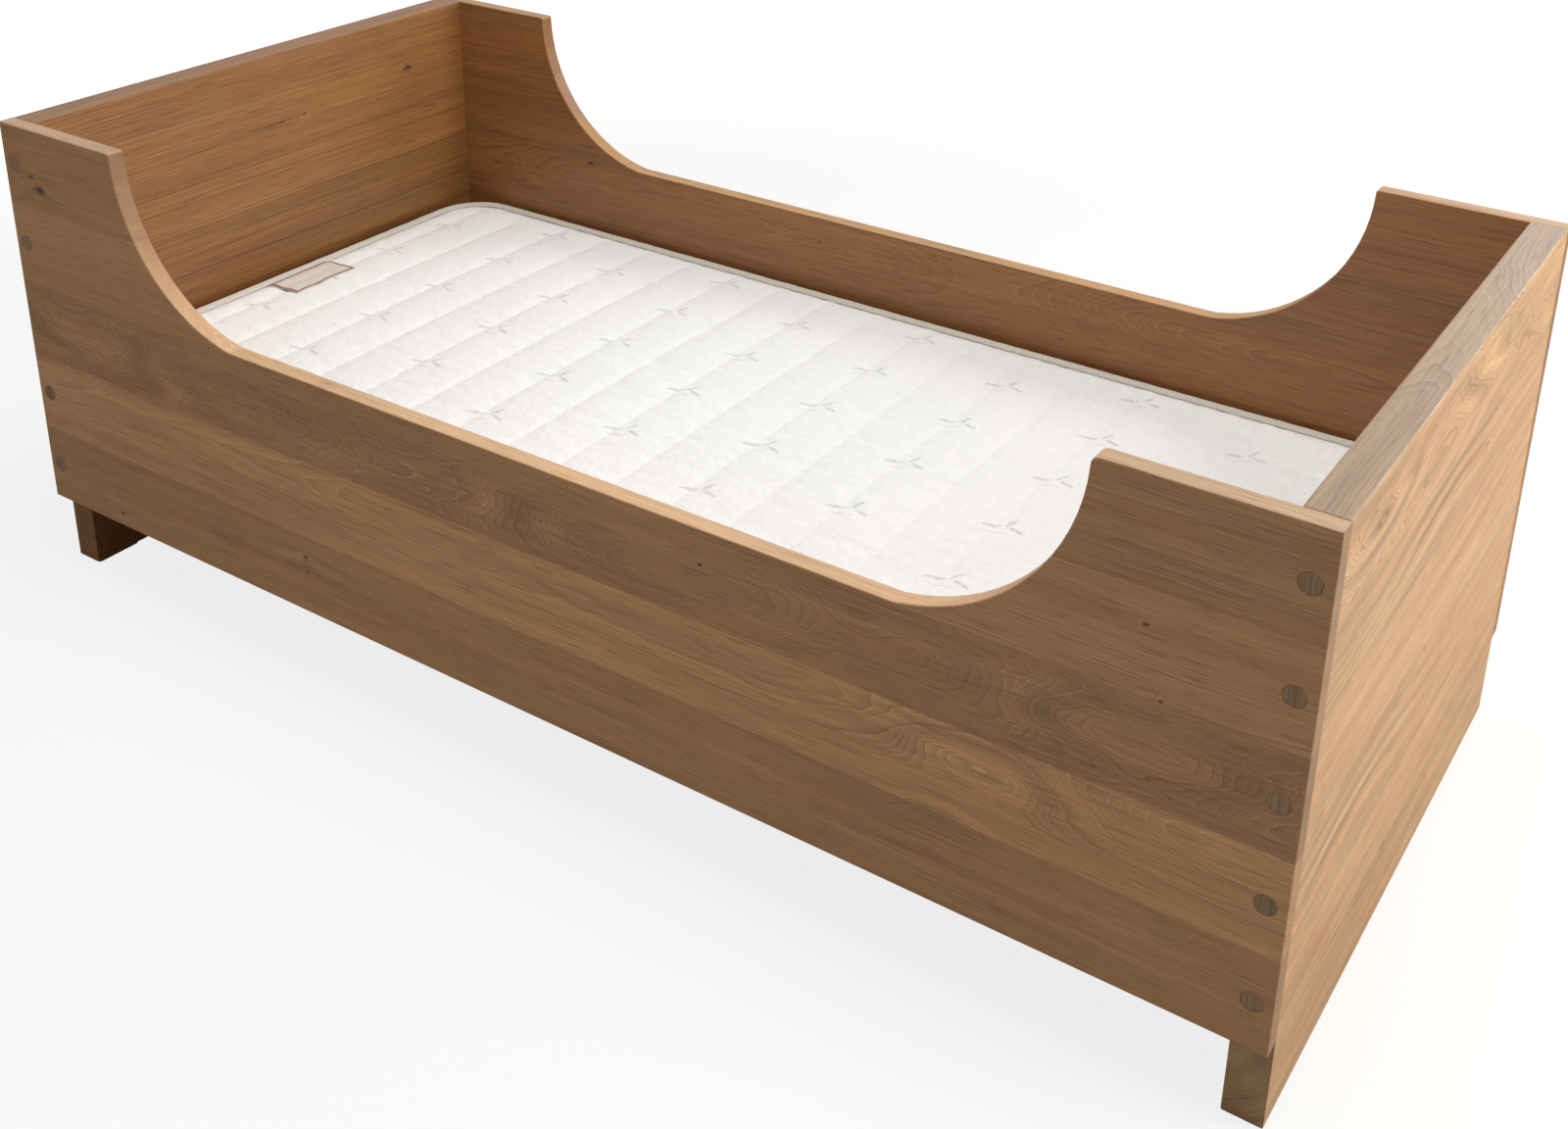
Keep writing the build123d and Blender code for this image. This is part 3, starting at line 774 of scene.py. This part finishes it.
def makeBandTree():
    # a flat band swept along the piece's own edges
    sizes = ("Width", "Bow", "Tilt", "Step", "Wobble")
    tree, add, given = geometryTree("sweptBand", "Path", sizes, "Band")
    curve = add("GeometryNodeMeshToCurve", {"Mesh": given["Path"]})
    curve = add("GeometryNodeSetCurveNormal", {"Curve": curve}, mode="Z_UP")
    curve = add("GeometryNodeSetCurveTilt", {"Curve": curve, "Tilt": given["Tilt"]})
    curve = add("GeometryNodeResampleCurve", {"Curve": curve, "Length": given["Step"]}, mode="LENGTH")
    along = add("GeometryNodeSplineParameter", out="Length")
    curve = add("GeometryNodeStoreNamedAttribute",
                {"Geometry": curve, "Name": "alongBand", "Value": along})
    half = add(maths, [given["Width"], 0.5], "MULTIPLY")
    minus = add(maths, [half, -1.0], "MULTIPLY")
    start, end = add(combine, [minus]), add(combine, [half])
    profile = add("GeometryNodeCurvePrimitiveLine", {"Start": start, "End": end})
    profile = add("GeometryNodeResampleCurve", {"Curve": profile, "Count": 11})
    spot = add("GeometryNodeInputPosition")
    across = add(separate, [spot])
    profile = add("GeometryNodeStoreNamedAttribute",
                  {"Geometry": profile, "Name": "acrossBand", "Value": across})
    share = add(maths, [across, half], "DIVIDE")
    share = add(maths, [share, share], "MULTIPLY")
    dip = add(maths, [share, given["Bow"]], "MULTIPLY")
    offset = add(combine, {1: dip})
    profile = add("GeometryNodeSetPosition", {"Geometry": profile, "Offset": offset})
    band = add("GeometryNodeCurveToMesh", {"Curve": curve, "Profile Curve": profile})
    wave = add(noiseTexture, {"Vector": spot, "Scale": 40.0, "Detail": 1.0})
    wave = add(maths, [wave, 0.5], "SUBTRACT")
    wave = add(maths, [wave, given["Wobble"]], "MULTIPLY")
    normal = add("GeometryNodeInputNormal")
    offset = add(vector, {0: normal, "Scale": wave}, "SCALE")
    band = add("GeometryNodeSetPosition", {"Geometry": band, "Offset": offset})
    finishTree(add, band, given["Cloth"])
    return tree


def makeStitchTree():
    # thread stitches spaced along the piece's own edges
    sizes = ("Pitch", "Stitch", "Thread")
    tree, add, given = geometryTree("stitchRow", "Seams", sizes, "Stitches")
    curve = add("GeometryNodeMeshToCurve", {"Mesh": given["Seams"]})
    spots = add("GeometryNodeCurveToPoints", {"Curve": curve, "Length": given["Pitch"]}, mode="LENGTH")
    spots = spots.node.outputs
    size = add(combine, [given["Thread"], given["Thread"], given["Stitch"]])
    bead = add("GeometryNodeMeshUVSphere", {"Segments": 6, "Rings": 4, "Radius": 0.5})
    made = add("GeometryNodeInstanceOnPoints", {
        "Points": spots["Points"], "Instance": bead, "Rotation": spots["Rotation"], "Scale": size,
    })
    finishTree(add, made, given["Cloth"])
    return tree


def pathObject(name, chains, closed):
    # edges through the given points, for a band or a seam to follow
    bm = bmesh.new()
    for chain in chains:
        verts = [bm.verts.new(p) for p in chain]
        for a, b in zip(verts, verts[1:] + (verts[:1] if closed else [])):
            bm.edges.new((a, b))
    return meshObject(name, bm)


# cloth materials
motif = {
    "cellX": 152, "cellY": 118, "colour": "#a2a6ac", "strength": 0.55,
    # each leaf's middle, turn in degrees, length and width
    "leaves": [
        (-14, -6, 28, 25, 6), (4, 7, 66, 20, 5.6), (15, -5, -20, 22, 5.6), (-2, -16, 8, 30, 1.8),
    ],
}


def quiltMaterial():
    # Knitted cotton cover: warm white, matt, with a soft needled mottle and pale woven flecks
    material, add = newMaterial("knittedCottonCover")
    place = add(coordinates, out="Object")
    mottle, needle, cloud = [
        add(noiseTexture, {"Vector": place, "Scale": 1 / (size * mm), "Detail": detail})
        for size, detail in ((9, 3.0), (2.6, 2.0), (160, 2.0))
    ]
    # knit ribs 1.6 mm apart, drawn about twice as coarse as the yarn so that they show
    rib = add("ShaderNodeTexWave", {
        "Vector": place, "Scale": 0.314 / (1.6 * mm), "Distortion": 1.5, "Detail": 1.0,
    }, out="Fac")
    colour = add(mixer, {0: cloud, 6: hexColour("#f0efec"), 7: hexColour("#f7f6f4")}, **inColour)
    colour = shaded(add, colour, mottle, 0.955, 1.0, 0.3, 0.7)
    # pale sprigs, one to a cell, every second column dropped by half a cell
    cellX, cellY = motif["cellX"], motif["cellY"]
    axes = add(separate, [place]).node.outputs
    column = add(maths, [axes[0], 1 / (cellX * mm)], "MULTIPLY")
    drop = add(maths, [column], "FLOOR")
    drop = add(maths, [drop, 0.5], "MULTIPLY")
    row = add(maths, [axes[1], 1 / (cellY * mm), drop], "MULTIPLY_ADD")
    spot = []
    for value, cell in ((column, cellX), (row, cellY)):
        value = add(maths, [value], "FRACT")
        spot.append(add(maths, [value, cell, -cell / 2], "MULTIPLY_ADD"))
    spot = add(combine, spot)
    inked = 0.0
    for leafX, leafY, turn, length, width in motif["leaves"]:
        leaf = add(vector, [spot, (leafX, leafY, 0)], "SUBTRACT")
        leaf = add("ShaderNodeVectorRotate", {"Vector": leaf, "Angle": radians(-turn)},
                   rotation_type="Z_AXIS")
        leaf = add(vector, [leaf, (2 / length, 2 / width, 0)], "MULTIPLY")
        leaf = add(vector, [leaf], "LENGTH", out="Value")
        leaf = add(mapRange, [leaf, 1.05, 0.75])
        inked = add(maths, [leaf, inked], "MAXIMUM")
    worn = add(mapRange, [needle, 0.35, 0.6, 0.15, motif["strength"]])
    inked = add(maths, [inked, worn], "MULTIPLY")
    colour = add(mixer, {0: inked, 6: colour, 7: hexColour(motif["colour"])}, **inColour)
    height = add(maths, [mottle, 2.2], "MULTIPLY")
    height = add(maths, [needle, 0.7, height], "MULTIPLY_ADD")
    height = add(maths, [rib, 0.12, height], "MULTIPLY_ADD")
    finishMaterial(add, colour, 0.92, height, 0.55, Sheen_Weight=0.15, Specular_IOR_Level=0.2)
    return material


def bandMaterial(name, light, dark, threadMm, heightMm):
    # Woven band: a plain weave that follows the band's own length and width
    material, add = newMaterial(name)
    weave = 1.0
    for attribute in ("alongBand", "acrossBand"):
        wave = add("ShaderNodeAttribute", out="Fac", attribute_name=attribute)
        wave = add(maths, [wave, pi / (threadMm * mm)], "MULTIPLY")
        wave = add(maths, [wave], "SINE")
        weave = add(maths, [wave, weave], "MULTIPLY")
    weave = add(maths, [weave, 0.5, 0.5], "MULTIPLY_ADD")
    place = add(coordinates, out="Object")
    fuzz = add(noiseTexture, {"Vector": place, "Scale": 1 / (3 * mm), "Detail": 3.0})
    colour = add(mixer, {0: weave, 6: hexColour(dark), 7: hexColour(light)}, **inColour)
    colour = shaded(add, colour, fuzz, 0.9, 1.08)
    height = add(maths, [fuzz, 0.5, weave], "MULTIPLY_ADD")
    finishMaterial(add, colour, 0.85, height, heightMm, Sheen_Weight=0.1, Specular_IOR_Level=0.25)
    return material


def labelMaterial():
    # Satin ribbon: smooth and a little shiny, with one thin woven frame line and nothing else
    material, add = newMaterial("satinLabel")
    width, length = label["width"], label["length"]
    sheet = add("ShaderNodeUVMap", uv_map="sheet")
    sheet = add(vector, [sheet, (0.5, 0.5, 0)], "SUBTRACT")
    sheet = add(vector, [sheet], "ABSOLUTE")
    sheet = add(vector, [sheet, (width, length, 0)], "MULTIPLY")
    axes = add(separate, [sheet]).node.outputs
    sideways = add(maths, [width / 2, axes[0]], "SUBTRACT")
    endways = add(maths, [length / 2, axes[1]], "SUBTRACT")
    edge = add(maths, [sideways, endways], "MINIMUM")
    line = add(maths, [edge, label["border"], label["halfLine"]], "COMPARE")
    line = add(maths, [line, 0.85], "MULTIPLY")
    colour = add(mixer, {0: line, 6: hexColour("#dcd2ca"), 7: hexColour("#5f2219")}, **inColour)
    place = add(coordinates, out="Object")
    thread = add(noiseTexture, {"Vector": place, "Scale": 1 / (1.1 * mm)})
    colour = shaded(add, colour, thread, 0.9, 1.06)
    finishMaterial(add, colour, 0.5, thread, 0.04, Specular_IOR_Level=0.4)
    return material


def plainClothMaterial(name, colourText, fibreMm, bumpMm):
    # Matt cloth or felt: short fibres lie every way, with a soft uneven tone
    material, add = newMaterial(name)
    place = add(coordinates, out="Object")
    fibre = add(noiseTexture, {
        "Vector": place, "Scale": 1 / (fibreMm * mm), "Detail": 4.0, "Roughness": 0.7,
    })
    colour = shaded(add, hexColour(colourText)[:3], fibre, 0.86, 1.06, 0.3, 0.7)
    finishMaterial(add, colour, 0.95, fibre, bumpMm, Sheen_Weight=0.2, Specular_IOR_Level=0.2)
    return material


coverCloth = quiltMaterial()
borderCloth = plainClothMaterial("brushedCottonBorder", "#e2ddd3", 3.6, 0.7)
tapeCloth = bandMaterial("wovenCottonTape", "#dcd6cb", "#b5ad9f", 1.3, 0.18)
webCloth = bandMaterial("wovenWebbing", "#d6d1c6", "#a49c8c", 1.6, 0.3)
threadCloth = plainClothMaterial("cottonThread", "#e4dfd6", 0.6, 0.05)
feltCloth = plainClothMaterial("pressedFelt", "#4c443c", 1.1, 0.4)

setMaterial(quiltedTop, coverCloth)
setMaterial(mattressBody, borderCloth)

bandTree = makeBandTree()
stitchTree = makeStitchTree()

tape = {
    "width": 16, "thickness": 1.3, "bow": 8, "inset": 4.5, "tilt": 35, "wobble": 1.2, "step": 4,
    "above": 0.7, "overSlats": 1.8,  # where the crest of each roll lies, from the mattress's own faces
}
webbing = {
    "width": 20, "thickness": 1.3, "bow": 0, "tilt": 0, "wobble": 0.15, "step": 5,
    "length": 1500, "sag": 1.6, "y": 255,
    "middle": 159.25,  # the height of its middle where it lies on a slat
    "slatWidth": 70, "slatPitch": 110,
}


def thicken(piece, thickness):
    solid = piece.modifiers.new("thickness", "SOLIDIFY")
    solid.thickness = thickness * mm
    solid.offset = 0
    applyModifiers(piece)
    piece.data.shade_smooth()
    return piece


def makeBand(name, chain, closed, sizes, side, cloth):
    piece = pathObject(name, [chain], closed)
    runTree(piece, bandTree, {
        "Width": sizes["width"] * mm, "Bow": sizes["bow"] * mm * side,
        "Tilt": radians(sizes["tilt"] * side), "Step": sizes["step"] * mm,
        "Wobble": sizes["wobble"] * mm, "Cloth": cloth,
    })
    return thicken(piece, sizes["thickness"])


def makeTape(name, side):
    # side is 1 for the top edge and -1 for the bottom edge
    edge = mattress["top"] + tape["above"] if side > 0 else mattress["bottom"] + tape["overSlats"]
    chain = [(spot.x * mm, spot.y * mm, edge * mm) for spot, outward in roundedRing(tape["inset"], 6)]
    return makeBand(name, chain, True, tape, side, tapeCloth)


topTape = makeTape("top_binding", 1)
bottomTape = makeTape("bottom_binding", -1)
print("tapes made")


def makeWebbing(name, side):
    # the band hangs a little between the slats
    slat, pitch = webbing["slatWidth"], webbing["slatPitch"]
    chain = []
    for along in range(0, webbing["length"] + 1, webbing["step"]):
        free = ramp(along % pitch, slat, pitch - slat)
        z = webbing["middle"] - webbing["sag"] * sin(pi * free)
        chain.append(((along - webbing["length"] / 2) * mm, side * webbing["y"] * mm, z * mm))
    return makeBand(name, chain, False, webbing, side, webCloth)


frontWebbing = makeWebbing("front_band", -1)
rearWebbing = makeWebbing("rear_band", 1)
print("webbing made")


def surfaceOf(piece):
    return BVHTree.FromPolygons([v.co for v in piece.data.vertices],
                                [p.vertices[:] for p in piece.data.polygons])


def landOn(surface, x, y, lift=0):
    # where a point that drops on the surface comes to lie, raised by lift
    hit = surface.ray_cast(Vector((x * mm, y * mm, 1)), Vector((0, 0, -1)))[0]
    return hit + Vector((0, 0, lift * mm))


stitches = {
    "seam": (5.5, 3.6, 0.55), "tape": (4.2, 3.0, 0.6),  # pitch, length and thread
    "seamEnd": 30, "step": 8, "sink": 0.1, "tapeRows": (7, 12.5),
}


def makeStitches(name, chains, sizes):
    piece = pathObject(name, chains, False)
    pitch, stitch, thread = (size * mm for size in sizes)
    runTree(piece, stitchTree,
            {"Pitch": pitch, "Stitch": stitch, "Thread": thread, "Cloth": threadCloth})
    applyModifiers(piece)
    piece.data.shade_smooth()
    return piece


quiltSurface, tapeSurface = surfaceOf(quiltedTop), surfaceOf(topTape)
reach = halfWidth - stitches["seamEnd"]
seamYs = [n * stitches["step"] - reach for n in range(int(2 * reach / stitches["step"]) + 1)]
seamChains = [[landOn(quiltSurface, x, y, -stitches["sink"]) for y in seamYs] for x in seamXs]
quiltStitches = makeStitches("quilt_stitches", seamChains, stitches["seam"])
tapeChains = [
    [landOn(tapeSurface, *(spot - outward * inset).xy) for spot, outward in roundedRing(0, 6)]
    for inset in stitches["tapeRows"]
]
bindingStitches = makeStitches("binding_stitches", tapeChains, stitches["tape"])
print("stitches made")

label = {
    "length": 106, "width": 60, "thickness": 0.4, "x": -703, "y": -16, "turn": 1.0,
    "lift": 0.9, "leastHeight": 0.6,  # its outer edge reaches over to the tape's roll
    "wave": 0.3, "waveSize": 14, "hem": 0.35, "hemWidth": 6, "spans": (7, 14, 21),
    "border": 3.2, "halfLine": 1.8, "columns": 30, "rows": 53,
}


def labelSpot(u, v):
    # where a point of the flat label lies on the quilt, a little turned
    turn = radians(label["turn"])
    x = label["x"] + u - v * turn
    y = label["y"] + v + u * turn
    edge = min(label["width"] / 2 - abs(u), label["length"] / 2 - abs(v))
    wave = label["wave"] * lumps(u / label["waveSize"], v / label["waveSize"], 2.2)
    lift = label["lift"] + label["hem"] * min(1, edge / label["hemWidth"]) + wave
    spot = landOn(quiltSurface, x, y, lift)
    # stiff satin spans the seam's valley from side to side
    for span in label["spans"]:
        span = min(span, x + halfLength - 8)
        ends = [landOn(quiltSurface, x + side * span, y, lift).z for side in (-1, 1)]
        spot.z = max(spot.z, sum(ends) / 2)
    spot.z = max(spot.z, (mattress["top"] + label["leastHeight"]) * mm)
    return spot


def makeLabel():
    columns, rows = label["columns"], label["rows"]
    bm = bmesh.new()
    grid = {
        (i, j): bm.verts.new(labelSpot((i / columns - 0.5) * label["width"],
                                       (j / rows - 0.5) * label["length"]))
        for i in range(columns + 1) for j in range(rows + 1)
    }
    uv = bm.loops.layers.uv.new("sheet")
    for i in range(columns):
        for j in range(rows):
            corners = ((i, j), (i + 1, j), (i + 1, j + 1), (i, j + 1))
            face = bm.faces.new([grid[key] for key in corners])
            for loop, (a, b) in zip(face.loops, corners):
                loop[uv].uv = (a / columns, b / rows)
    return thicken(meshObject("sewn_label", bm), label["thickness"])


sewnLabel = makeLabel()
setMaterial(sewnLabel, labelMaterial())

felt = {"corner": 4, "rim": 0.7}


def makeFelt(name, node):
    # pressed felt pad with soft rims
    low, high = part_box(node)
    bm = bmesh.new()
    bmesh.ops.create_cube(bm, size=1)
    for vert in bm.verts:
        vert.co = Vector([low[k] if vert.co[k] < 0 else high[k] for k in range(3)])
    upright = [e for e in bm.edges if abs(e.verts[0].co.z - e.verts[1].co.z) > 1 * mm]
    rounded = {"profile": 0.5, "affect": "EDGES"}
    bmesh.ops.bevel(bm, geom=upright, offset=felt["corner"] * mm, segments=5, **rounded)
    rim = [e for e in bm.edges if all(abs(v.co.z - high.z) < 0.01 * mm for v in e.verts)]
    bmesh.ops.bevel(bm, geom=rim, offset=felt["rim"] * mm, segments=3, **rounded)
    piece = meshObject(name, bm)
    setMaterial(piece, feltCloth)
    return piece


for end in ("head", "foot"):
    for side in ("front", "rear"):
        pad = makeFelt(f"felt_{end}_{side}", f"glide_{end}_{side}")
        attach(pad, "bed_frame")
        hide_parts(f"glide_{end}_{side}")
print("label and felt made")

for piece, slotName, body in (
    (quiltedTop, "cover_cotton", "mattress"), (mattressBody, "cover_cotton", "mattress"),
    (topTape, "tape_cotton", "mattress"), (bottomTape, "tape_cotton", "mattress"),
    (quiltStitches, "cover_cotton", "mattress"), (bindingStitches, "tape_cotton", "mattress"),
    (sewnLabel, "label_satin", "mattress"),
    (frontWebbing, "webbing", "slatted_base"), (rearWebbing, "webbing", "slatted_base"),
):
    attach(piece, body)
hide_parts("mattress_quilt")
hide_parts("mattress_core", "mattress_border", "mattress_base")
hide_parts("top_tape")
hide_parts("bottom_tape")
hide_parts("mattress_label")
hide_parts("front_webbing")
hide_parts("rear_webbing")
